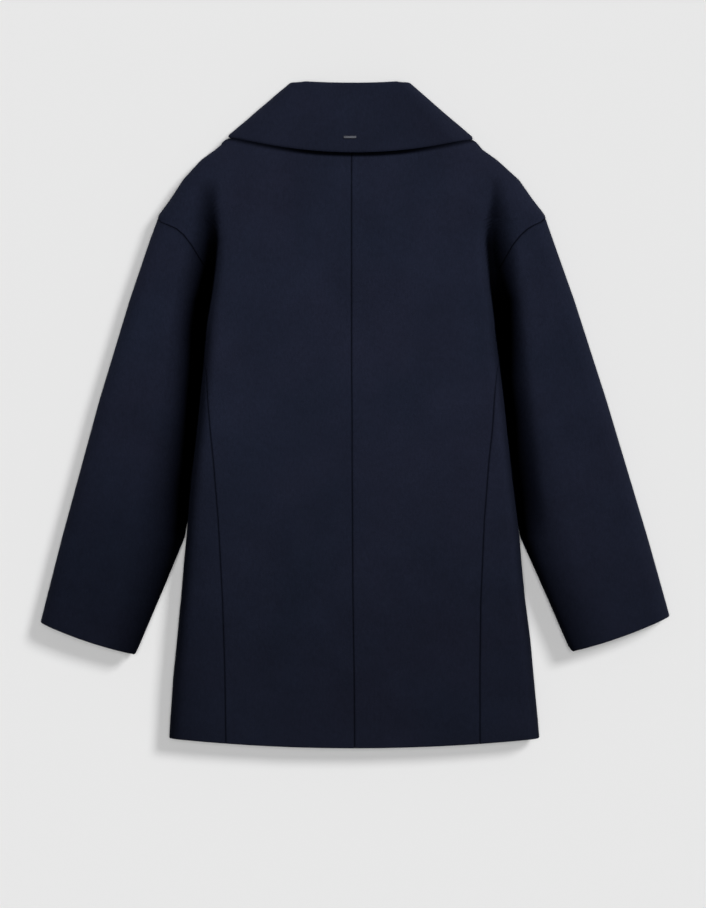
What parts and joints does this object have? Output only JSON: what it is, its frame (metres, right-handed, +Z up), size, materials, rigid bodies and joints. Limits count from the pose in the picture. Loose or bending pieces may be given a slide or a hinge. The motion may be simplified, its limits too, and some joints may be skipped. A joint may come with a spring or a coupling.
{
  "type": "pea coat",
  "caption": "Double-breasted pea coat laid flat on its front, back up, with a wide turned-down collar, set-in sleeves and open hem and cuffs.",
  "frame": {"origin": "on the surface the coat lies on, under the middle of its outline", "axes": "+X towards the wearer's right, +Y from the hem towards the collar, +Z up out of the coat's back"},
  "size_m": [0.8173, 0.8653, 0.038],
  "materials": {
    "wool": "matt brushed melton",
    "buttons": "dull satin",
    "bar": "brushed"
  },
  "bodies": {
    "root": {"back_left": "wool", "back_right": "wool", "side_left": "wool", "side_right": "wool", "front_left": "wool", "front_right": "wool", "sleeve_back_left": "wool", "sleeve_back_right": "wool", "sleeve_front_left": "wool", "sleeve_front_right": "wool", "collar_fall": "wool", "collar_stand": "wool", "lapel_left": "wool", "lapel_right": "wool", "button_left_1": "buttons", "button_left_2": "buttons", "button_left_3": "buttons", "button_right_1": "buttons", "button_right_2": "buttons", "button_right_3": "buttons", "collar_bar": "bar"}
  },
  "joints": []
}
